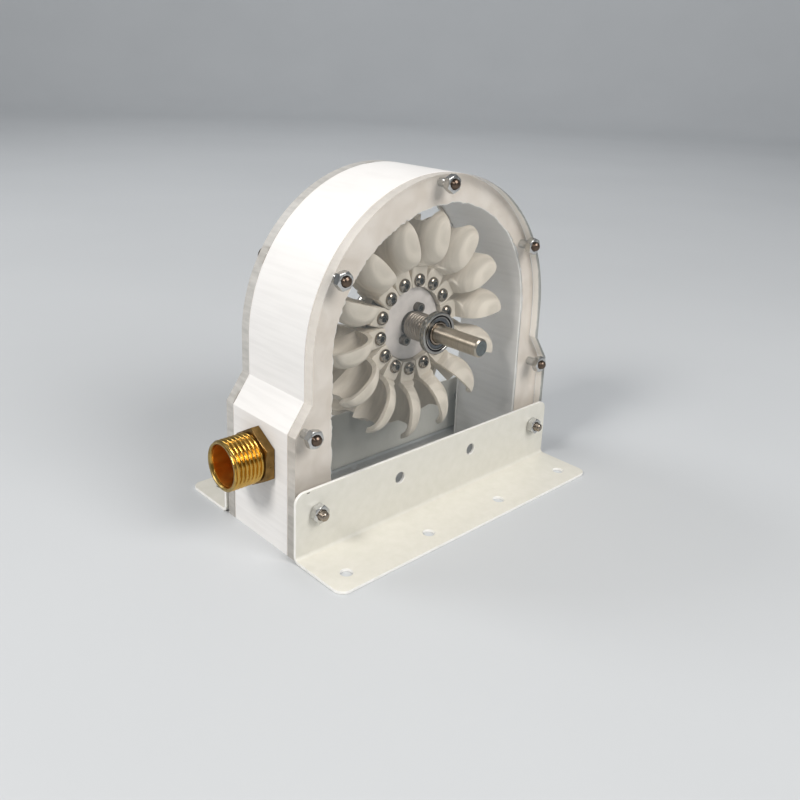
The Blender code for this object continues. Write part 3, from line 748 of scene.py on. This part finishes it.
def make_angle(name, node, side, chipped):
    mesh = outline_mesh(name, blank_loops(), SHEET / 2, ANGLE_EDGE)
    shape = bmesh.new()
    shape.from_mesh(mesh)
    flat = ANGLE_LEG - BEND_OUTER
    for i in range(BEND_CUTS + 1):
        s = flat + math.pi / 2 * BEND_MIDDLE * i / BEND_CUTS
        geometry = shape.verts[:] + shape.edges[:] + shape.faces[:]
        bmesh.ops.bisect_plane(shape, geom=geometry, dist=0.0001, plane_co=(0, s, 0), plane_no=(0, 1, 0))
    # Faces that are not the sheet's flat sides, the cut edges and hole walls, get the painted highlight.
    for face in shape.faces:
        face.material_index = 0 if abs(face.normal.z) > 0.85 else 1
    for vertex in shape.verts:
        across, depth, height = bend(vertex.co)
        vertex.co = (side * -across, side * (ANGLE_FACE + depth), height)
    bmesh.ops.recalc_face_normals(shape, faces=shape.faces)
    shape.to_mesh(mesh)
    shape.free()
    smooth(to_metres(mesh), 32)
    add_piece(name, mesh, "housing", HOUSING, [coat, coat_edge_painted_highlight], [node], True)
    if chipped:
        rows = [(0.0, 0.08), (lambda a: (0.8 * chip_radius(a), 0.06)), (lambda a: (chip_radius(a), -0.1)),
                (0.0, -0.1)]
        spot = Matrix.Translation((CHIP_ACROSS, -(ANGLE_FACE + SHEET), CHIP_HEIGHT)) @ FACING_FRONT
        mesh = rows_mesh("chip", rows, 18, turn=spot)
        add_piece(name + "_chip", mesh, "housing", HOUSING, [chip])


# Fasteners

def nut_rows(flats, height, bore, chamfer=0.577):
    """A closed profile of a nut, its foot at nought, with both faces turned down at the corners."""
    hexed = hexagon(flats)
    rim = 0.475 * flats

    def drop(angle):
        return max(0.0, hexed(angle) - rim) * chamfer + 0.01
    return [(bore, height - NUT_BEVEL), (bore + NUT_BEVEL, height), (rim, height),
            (lambda a: (hexed(a), height - drop(a))), (lambda a: (hexed(a), drop(a))),
            (rim, 0.0), (bore + NUT_BEVEL, 0.0), (bore, NUT_BEVEL)]


def screw_thread(radius, depth, pitch, low, high, rows_a_pitch=8):
    """Rows down a threaded length, with the ridge running round as a helix."""
    rows = []
    count = max(2, int((high - low) / pitch * rows_a_pitch))
    for i in range(count + 1):
        height = high - (high - low) * i / count

        def row(angle, height=height):
            phase = (height / pitch - angle / (2 * math.pi)) % 1.0
            ridge = 0.5 + 0.5 * math.cos(2 * math.pi * phase)
            return radius - depth * (1.0 - ridge ** 0.8), height
        rows.append(row)
    return rows


def make_tie_bolt(number, across, height, through_angles):
    """A bolt from a round head at the rear to a nut at the front, with its threaded end standing proud."""
    face, proud = PLATE_OUTER + GAP, BOLT_PROUD
    if through_angles:
        face, proud = ANGLE_FACE + SHEET + GAP, ANGLE_BOLT_PROUD
    nut_front = face + NUT_HEIGHT
    end = nut_front + proud
    foot = face - HEAD_SINK
    head = []
    for i in range(9):
        angle = math.radians(90 - 90 * i / 8)
        dome = (BOLT_HEAD_HEIGHT - BOLT_HEAD_SKIRT) * math.sin(angle)
        head.append((BOLT_HEAD_RADIUS * math.cos(angle), foot + BOLT_HEAD_SKIRT + dome))
    head[0] = (0.0, head[0][1])
    rows = head + [(BOLT_HEAD_RADIUS, foot + 0.05), (BOLT_RADIUS, foot)]
    rows += [(BOLT_RADIUS, -(nut_front - 1.0))]
    rows += screw_thread(BOLT_RADIUS, 0.22, BOLT_PITCH, -(end - 0.75), -(nut_front - 1.0))
    rows += [(1.72, -(end - 0.6)), (1.45, -(end - 0.28)), (0.95, -(end - 0.08)), (0.0, -end)]
    place = HOUSING @ Matrix.Translation((across * MM, 0.0, height * MM))
    mesh = rows_mesh("bolt", rows, 32, turn=FACING_REAR)
    paint_faces(mesh, 1, lambda face: abs(face.center.y) < PLATE_OUTER * MM)
    end_metal = bolt_bright if through_angles else bolt_dark
    add_piece("bolt_%d" % number, mesh, "housing", place, [end_metal, zinc],
              ["tie_bolt_%d" % number])
    spin = Matrix.Rotation(math.radians(12 * number), 4, "Z")
    turn = Matrix.Translation((0.0, -(face - NUT_SINK), 0.0)) @ FACING_FRONT @ spin
    nut = rows_mesh("nut", nut_rows(NUT_FLATS, NUT_HEIGHT, NUT_BORE), 72, closed=True, turn=turn)
    add_piece("nut_%d" % number, nut, "housing", place, [zinc], ["tie_nut_%d" % number])


# Inlet

def make_inlet():
    """The threaded spigot with its bore, and the hexagon that it is turned by."""
    start = HEX_THICKNESS + GAP
    end = INLET_REACH
    place = HOUSING @ Matrix.Translation((-BASE_HALF_WIDTH * MM, 0.0, INLET_HEIGHT * MM))
    turn = Matrix.Rotation(math.radians(-90), 4, "Y")
    rows = [(INLET_BORE, -SHANK_DEPTH)]
    for widening, from_end in ((0.0, 2.0), (0.12, 1.4), (0.4, 0.5), (0.62, 0.1), (0.75, 0.0)):
        rows.append((INLET_BORE + widening, end - from_end))
    rows += [(9.8, end), (9.95, end - 0.1), (9.98, end - 0.35)]
    rows += screw_thread(THREAD_RADIUS, THREAD_DEPTH, THREAD_PITCH, start + 0.75, end - 0.6, 12)
    rows += [(THREAD_RELIEF, start + 0.5), (THREAD_RELIEF, start - 0.4), (SHANK_RADIUS, -0.2),
             (SHANK_RADIUS, -SHANK_DEPTH)]
    mesh = rows_mesh("inlet_thread", rows, 96, closed=True, angle=38, turn=turn)
    # The bore's faces get the brass with painted light.
    paint_faces(mesh, 1, lambda face: math.hypot(face.center.y, face.center.z) < (INLET_BORE + 0.1) * MM)
    paint_faces(mesh, 2, lambda face: face.center.x < -(end - 1.2) * MM and face.normal.x < -0.3)
    add_piece("inlet_thread", mesh, "housing", place, [brass_thread, brass_bore_painted_light, brass_rim],
              ["inlet_nipple"])
    hexed = hexagon(HEX_FLATS)

    def slope(angle):
        return max(0.0, hexed(angle) - HEX_RIM) * 0.3
    rows = [(9.5, start - 0.1), (9.9, start), (HEX_RIM, start),
            (lambda a: (hexed(a) - 0.1, start - 0.02 - slope(a))),
            (lambda a: (hexed(a), start - 0.15 - slope(a))), (lambda a: (hexed(a), 0.32)), (9.5, 0.3)]
    mesh = rows_mesh("inlet_hexagon", rows, 96, closed=True, turn=turn)
    add_piece("inlet_hexagon", mesh, "housing", place, [brass_hex])


# Shaft line

def from_axis(face):
    """How far a face's middle is from the Y axis, in millimetres."""
    return math.hypot(face.center.x, face.center.z) / MM


def make_shaft_line():
    inside = SHAFT_RADIUS - 0.7
    rows = [(0.0, SHAFT_FRONT), (inside * 0.5, SHAFT_FRONT), (inside, SHAFT_FRONT),
            (SHAFT_RADIUS, SHAFT_FRONT - 0.6), (SHAFT_RADIUS, 0.0), (SHAFT_RADIUS, -(SHAFT_REAR - 0.6)),
            (inside, -SHAFT_REAR), (0.0, -SHAFT_REAR)]
    mesh = rows_mesh("shaft", rows, 72, turn=FACING_FRONT)
    # The flat end faces get the painted reflection.
    paint_faces(mesh, 1, lambda face: abs(face.normal.y) > 0.95)
    add_piece("shaft_turned", mesh, "wheel", WHEEL, [shaft_steel, shaft_end_painted_reflection], ["shaft"])
    for side_name, turn in (("front", FACING_FRONT), ("rear", FACING_REAR)):
        make_bearing(side_name, turn)
        make_collar(side_name, turn)


def make_bearing(side_name, turn):
    """Outer ring with a groove round its shield, the groove painted near-black as shade, and the inner ring
    on the shaft.
    """
    face, back = BEARING_FACE, BEARING_BACK
    outer = [(5.5, face - 0.5), (SHIELD_RADIUS, face - 0.5), (6.95, face - 0.25), (7.15, face - 0.18),
             (7.45, face - 0.25), (7.55, face - 0.8), (7.95, face - 0.8), (8.1, face - 0.1),
             (8.25, face), (9.15, face), (9.4, face - 0.12), (BEARING_RADIUS, face - 0.4),
             (BEARING_RADIUS, back + 0.4), (9.4, back + 0.12), (9.1, back), (8.2, back),
             (8.1, back + 0.1), (7.95, back + 0.5), (5.5, back + 0.5)]
    mesh = rows_mesh("bearing_outer", outer, 96, closed=True, turn=turn)
    for material in (bearing_steel, bearing_shield, bearing_groove_painted_shade):
        mesh.materials.append(material)
    paint_faces(mesh, 1, lambda part: from_axis(part) < SHIELD_RADIUS)
    # The groove's faces get the painted shade.
    paint_faces(mesh, 2, lambda part: GROOVE_INNER < from_axis(part) < GROOVE_OUTER)
    add_piece(side_name + "_bearing", mesh, "housing", WHEEL, [],
              [side_name + "_bearing_outer"])
    inner = [(BORE, face - 0.2), (4.35, face), (4.9, face), (5.1, face - 0.12), (5.2, face - 0.35),
             (5.2, back + 0.35), (5.0, back), (BORE, back)]
    mesh = rows_mesh("bearing_inner", inner, 72, closed=True, turn=turn)
    add_piece(side_name + "_race", mesh, "wheel", WHEEL, [bearing_race],
              [side_name + "_bearing_inner"])


def make_collar(side_name, turn):
    """The ribbed barrel between the hub and the bearing, on a narrower neck that is painted near-black as
    shade.
    """
    rows = [(BORE, COLLAR_NOSE), (4.85, COLLAR_NOSE), (5.0, COLLAR_NOSE - 0.15), (5.0, COLLAR_END),
            (5.8, COLLAR_END)]
    pitch = (COLLAR_END - COLLAR_ROOT) / COLLAR_RIBS
    rib = ((0.06, 0.3), (0.2, 0.06), (0.36, 0.0), (0.56, 0.0), (0.72, 0.06), (0.86, 0.3), (0.96, 0.6))
    for i in range(COLLAR_RIBS):
        top = COLLAR_END - i * pitch
        for share, drop in rib:
            rows.append((COLLAR_RADIUS - drop, top - share * pitch))
    rows += [(COLLAR_NECK, COLLAR_ROOT), (COLLAR_NECK, HUB_HALF + GAP), (BORE, HUB_HALF + GAP)]
    mesh = rows_mesh("collar", rows, 80, closed=True, angle=50, turn=turn)
    mesh.materials.append(collar_steel)
    mesh.materials.append(collar_painted_shade)
    # The neck's faces get the painted shade.
    paint_faces(mesh, 1, lambda face: abs(face.center.y) < (COLLAR_ROOT - 0.02) * MM)
    add_piece(side_name + "_collar_turned", mesh, "wheel", WHEEL, [], [side_name + "_collar"])


# Wheel

def make_hub():
    """The disc behind the stems' faces with its thin web, and the two cap screws in it."""
    half = [(BORE, HUB_HALF), (HUB_RADIUS - 0.5, HUB_HALF), (HUB_RADIUS - 0.15, HUB_HALF - 0.08),
            (HUB_RADIUS, HUB_HALF - 0.4), (HUB_RADIUS, WEB_HALF), (WEB_RADIUS, WEB_HALF)]
    rows = half + [(radius, -height) for radius, height in reversed(half)]
    mesh = rows_mesh("hub", rows, 120, closed=True, turn=FACING_FRONT)
    add_piece("hub_disc", mesh, "wheel", WHEEL, [hub_print], ["wheel_hub"], True)
    socket = hexagon(CAP_SOCKET)
    rows = [(0.0, 1.2), (lambda a: (socket(a), 1.2)), (lambda a: (socket(a), CAP_HEIGHT - 0.08)),
            (1.6, CAP_HEIGHT), (2.05, CAP_HEIGHT), (2.25, CAP_HEIGHT - 0.08), (CAP_RADIUS, CAP_HEIGHT - 0.3),
            (CAP_RADIUS, 0.0), (0.0, 0.0)]
    for i, angle in enumerate(CAP_ANGLES):
        turned = math.radians(angle)
        across, up = CAP_CIRCLE * math.cos(turned), CAP_CIRCLE * math.sin(turned)
        mesh = rows_mesh("cap_screw", rows, 48, turn=FACING_FRONT)
        mesh.materials.append(cap_dark)
        mesh.materials.append(socket_painted_shade)
        # The cap screw's socket faces get the near-black painted shade.
        paint_faces(mesh, 1, lambda face: from_axis(face) < 1.4 and face.center.y < -0.5 * MM)
        place = WHEEL @ Matrix.Translation((across * MM, -HUB_HALF * MM, up * MM))
        add_piece("hub_screw_%d" % (i + 1), mesh, "wheel", place, [])


def oval(radius, wall):
    """Half the width of the bucket's outline at a radius, drawn in by wall. Nought is outside it."""
    if radius < CUP_MIDDLE:
        reach, power = CUP_MIDDLE - NECK + 0.3 - wall, 2.5
    else:
        reach, power = TIP - CUP_MIDDLE + 0.4 - wall, 2.8
    away = abs(radius - CUP_MIDDLE) / reach
    if away >= 1.0:
        return 0.0
    return (CUP_HALF_WIDTH - wall) * (1.0 - away ** power) ** (1.0 / power)


def cup_height(radius):
    if radius < CUP_DEEPEST:
        away = (CUP_DEEPEST - radius) / (CUP_DEEPEST - NECK)
        return NECK_HEIGHT + (CUP_HEIGHT - NECK_HEIGHT) * (0.5 + 0.5 * math.cos(math.pi * away))
    away = (radius - CUP_DEEPEST) / (TIP - CUP_DEEPEST + 0.1)
    return CUP_HEIGHT * (1.0 - away ** 1.9) ** 0.526


def bucket_section(radius, half_width, rim, height, groove, hollow, mouth, squareness):
    """One section across a bucket: over the back, round the rim, and through both cups."""
    def lobe(degrees, power):
        turn = math.radians(degrees)
        wide = abs(math.cos(turn)) ** (2.0 / power)
        return 0.5 + math.copysign(0.5 * wide, math.cos(turn)), abs(math.sin(turn)) ** (2.0 / power)
    outside = []
    for i in range(15):
        across, rise = lobe(90.0 * i / 14, squareness)
        outside.append((across * half_width, rim + rise * height))
    outside[0] = (half_width, rim + 0.22)
    for i in range(1, 8):
        share = 0.5 - 0.5 * i / 7
        outside.append((share * half_width, rim + height * (1.0 - groove * (1.0 - 2.0 * share) ** 2)))
    inner_width = max(mouth, 0.05)
    edge = 0.25 if mouth > 0.5 else 0.03
    through = [(half_width - 0.06, rim + 0.06), (half_width - 0.25, rim), (inner_width + edge, rim),
               (inner_width + 0.2 * edge, rim + 0.3 * min(edge, 0.4 * hollow))]
    for i in range(1, 18):
        across, rise = lobe(180.0 * i / 17, 2.0)
        through.append((across * inner_width, rim + max(rise * hollow, 0.12 * min(1.0, hollow))))
    through[-1] = (0.0, rim + min(SPLITTER_DROP, 0.3 * hollow))
    loop = outside + [(-y, t) for y, t in reversed(outside[:-1])]
    loop += [(-y, t) for y, t in through] + [(y, t) for y, t in reversed(through[:-1])]
    return [Vector((radius, y, t)) for y, t in loop]


def bucket_sections():
    """Sections from the stem's root to the lip. The cups open where the rim's strip ends."""
    sections = []
    for radius, half in ((17.0, 3.62), (17.12, 3.7), (18.5, 4.06), (20.0, STEM_HALF), (23.0, STEM_HALF),
                         (25.7, STEM_HALF)):
        sections.append(bucket_section(radius, STEM_FACE, -half, 2 * half, 0.0, 0.0, 0.0, 12.0))
    count = 60
    for i in range(1, count + 1):
        along = 0.5 - 0.5 * math.cos(math.pi * i / count)
        radius = NECK + (TIP - NECK) * along
        from_middle = 2.0 * along - 1.0
        mouth = oval(radius, CUP_WALL)
        fullness = mouth / (CUP_HALF_WIDTH - CUP_WALL)
        rim = CUP_RIM + 0.7 * from_middle ** 4
        height = cup_height(radius)
        hollow = max(0.0, height - CUP_WALL) * fullness ** 0.7
        width = max(oval(radius, 0.0), STEM_FACE)
        squareness = 2.0 + 10.0 * max(0.0, 1.0 - (radius - NECK) / STEM_BLEND) ** 2
        groove = 0.2 * fullness
        sections.append(bucket_section(radius, width, rim, height, groove, hollow, mouth, squareness))
    return sections


def notch_outline():
    """The mouth in the lip: round-cornered, a horn each side, and the splitter ends in it."""
    middle = (NOTCH_ROOT + NOTCH_CORNER, NOTCH_HALF_WIDTH - NOTCH_CORNER)
    half = [(SPLITTER_TIP, 0.8), (NOTCH_ROOT + 0.4, 2.9), (NOTCH_ROOT, 3.6)]
    half += arc(middle, NOTCH_CORNER, 180, 90, 10) + [(TIP + 1.5, NOTCH_HALF_WIDTH)]
    return half + [(x, -y) for x, y in reversed(half)]


def bucket_mesh():
    sections = bucket_sections()
    shape = bmesh.new()
    rings = [[shape.verts.new(point) for point in section] for section in sections]
    count = len(rings[0])
    for here, there in zip(rings, rings[1:]):
        for i in range(count):
            j = (i + 1) % count
            shape.faces.new((here[i], here[j], there[j], there[i]))
    for ring in (list(reversed(rings[0])), rings[-1]):
        middle = shape.verts.new(sum((vertex.co for vertex in ring), Vector()) / count)
        for i in range(count):
            shape.faces.new((ring[i], ring[(i + 1) % count], middle))
    if shape.calc_volume(signed=True) < 0:
        bmesh.ops.reverse_faces(shape, faces=shape.faces)
    mesh = bpy.data.meshes.new("bucket")
    shape.to_mesh(mesh)
    shape.free()
    slot = cylinder(WEB_RADIUS + GAP, -(WEB_HALF + GAP), WEB_HALF + GAP, 120, FACING_FRONT)
    notch = to_metres(outline_mesh("notch", [notch_outline()], 20.0, 0.0))
    return smooth(carve(to_metres(mesh), [slot, notch]), 38)


def button_rows():
    """A button head with a hexagon socket, its foot at nought."""
    socket = hexagon(STEM_SOCKET)
    rows = [(0.0, 0.75), (lambda a: (socket(a), 0.85)), (lambda a: (socket(a), 1.72)), (1.5, 1.77)]
    for i in range(7):
        turn = math.radians(62 - 62 * i / 6)
        rows.append((STEM_HEAD * math.cos(turn), 0.25 + 1.72 * math.sin(turn)))
    rows += [(STEM_HEAD, 0.0), (0.0, 0.0)]
    return rows


def make_wheel():
    make_hub()
    bucket = bucket_mesh()
    bucket.materials.append(bucket_print)
    screw = rows_mesh("stem_screw", button_rows(), 48,
                      turn=Matrix.Translation((STEM_SCREW, -STEM_FACE, 0.0)) @ FACING_FRONT)
    screw.materials.append(screw_steel)
    screw.materials.append(socket_painted_shade)
    # The button head's socket faces get the near-black painted shade.
    paint_faces(screw, 1, lambda face: face.center.y > -(STEM_FACE + 1.75) * MM and
                math.hypot(face.center.x - STEM_SCREW * MM, face.center.z) < STEM_SOCKET_SHADE_REACH * MM)
    nut = rows_mesh("stem_nut", nut_rows(STEM_NUT_FLATS, STEM_NUT_HEIGHT, 1.4), 72, closed=True,
                    turn=Matrix.Translation((STEM_SCREW, STEM_FACE, 0.0)) @ FACING_REAR)
    nut.materials.append(zinc)
    end = rows_mesh("stem_end", [(0.0, 3.0), (1.0, 2.95), (1.4, 2.6), (1.45, 0.0), (0.0, 0.0)], 32,
                    turn=Matrix.Translation((STEM_SCREW, STEM_FACE, 0.0)) @ FACING_REAR)
    end.materials.append(bolt_dark)
    for k in range(BUCKETS):
        angle = math.radians(FIRST_BUCKET - 360.0 / BUCKETS * k)
        place = WHEEL @ Matrix.Rotation(-angle, 4, "Y")
        number = "%02d" % (k + 1)
        add_piece("bucket_" + number + "_cup", bucket, "wheel", place, [],
                  ["bucket_" + number], True)
        add_piece("stem_screw_" + number, screw, "wheel", place, [])
        add_piece("stem_nut_" + number, nut, "wheel", place, [])
        add_piece("stem_end_" + number, end, "wheel", place, [])


# Stage, light and camera

def make_stage():
    """A round pale floor that turns up into a wall, all in metres."""
    flat, sweep, wall_top = 2.4, 0.9, 2.0
    rows = [(0.0, 0.0), (flat, 0.0)]
    for i in range(1, 13):
        turn = math.radians(90 * i / 12)
        rows.append((flat + sweep * math.sin(turn), sweep - sweep * math.cos(turn)))
    rows.append((flat + sweep, wall_top))
    rows = [(radius / MM, height / MM) for radius, height in rows]
    mesh = rows_mesh("floor", rows, 96, angle=60)
    floor_paint = principled("floor_pale", (0.58, 0.60, 0.62), 0.55)
    colour_by(floor_paint, noise_of(floor_paint, 4.0), (0.57, 0.59, 0.61), (0.59, 0.61, 0.63))
    mesh.materials.append(floor_paint)
    floor = bpy.data.objects.new("floor", mesh)
    bpy.context.scene.collection.objects.link(floor)


def aim(obj, place, target):
    obj.location = place
    obj.rotation_euler = (Vector(target) - Vector(place)).to_track_quat("-Z", "Y").to_euler()


def add_light(name, place, target, size, power, colour=(1.0, 1.0, 1.0)):
    light = bpy.data.lights.new(name, "AREA")
    light.shape = "DISK"
    light.size = size
    light.energy = power
    light.color = colour
    holder = bpy.data.objects.new(name, light)
    bpy.context.scene.collection.objects.link(holder)
    aim(holder, place, target)


def make_lights():
    middle = (0.0, 0.0, 0.06)
    far_wall = (2.2, 2.3, 0.8)
    add_light("key", (-1.13, -0.08, 0.99), middle, size=0.42, power=12.8, colour=(1.0, 0.965, 0.92))
    add_light("front", (0.18, -1.02, 0.90), middle, size=0.8, power=11.5, colour=(1.0, 0.98, 0.955))
    add_light("behind", (-0.48, 0.99, 1.08), middle, size=0.5, power=5.0)
    add_light("backdrop", (0.6, 0.7, 1.9), far_wall, size=1.5, power=18.0)
    world = bpy.data.worlds.new("studio")
    bpy.context.scene.world = world
    world.use_nodes = True
    backdrop = world.node_tree.nodes["Background"]
    backdrop.inputs["Color"].default_value = (0.96, 0.98, 1.0, 1.0)
    backdrop.inputs["Strength"].default_value = 0.27


def make_camera():
    """The photograph's camera, its place in metres and its turns in radians."""
    yaw, pitch, roll = 0.7696, -0.2925, 0.0429
    place = (-0.25065, -0.26189, 0.19230)
    sensor, focal_length, frame_width = 36.0, 841.5, 800.0
    forward = Vector((math.sin(yaw) * math.cos(pitch), math.cos(yaw) * math.cos(pitch), math.sin(pitch)))
    level = Vector((math.cos(yaw), -math.sin(yaw), 0.0))
    upright = level.cross(forward)
    right = math.cos(roll) * level + math.sin(roll) * upright
    up = -math.sin(roll) * level + math.cos(roll) * upright
    camera = bpy.data.cameras.new("camera")
    camera.sensor_width = sensor
    camera.lens = focal_length / frame_width * sensor
    camera.shift_x = -0.0097
    camera.shift_y = -0.1073
    camera.clip_start = 0.01
    holder = bpy.data.objects.new("camera", camera)
    bpy.context.scene.collection.objects.link(holder)
    turn = Matrix((right, up, -forward)).transposed().to_4x4()
    holder.matrix_world = HOUSING @ Matrix.Translation(place) @ turn
    bpy.context.scene.camera = holder


make_ring()
make_plate("front_plate_cut", "front_plate", -1, front_arch_edge)
make_plate("rear_plate_cut", "rear_plate", 1, rear_arch_edge)
make_sealant("front_sealant", -1)
make_sealant("rear_sealant", 1)
make_angle("front_angle", "front_bracket", -1, True)
make_angle("rear_angle", "rear_bracket", 1, False)
for number, (across, height, through_angles) in enumerate(bolt_places(), 1):
    make_tie_bolt(number, across, height, through_angles)
make_inlet()
make_shaft_line()
make_wheel()
make_stage()
make_lights()
make_camera()
bpy.context.scene.view_settings.view_transform = "Standard"
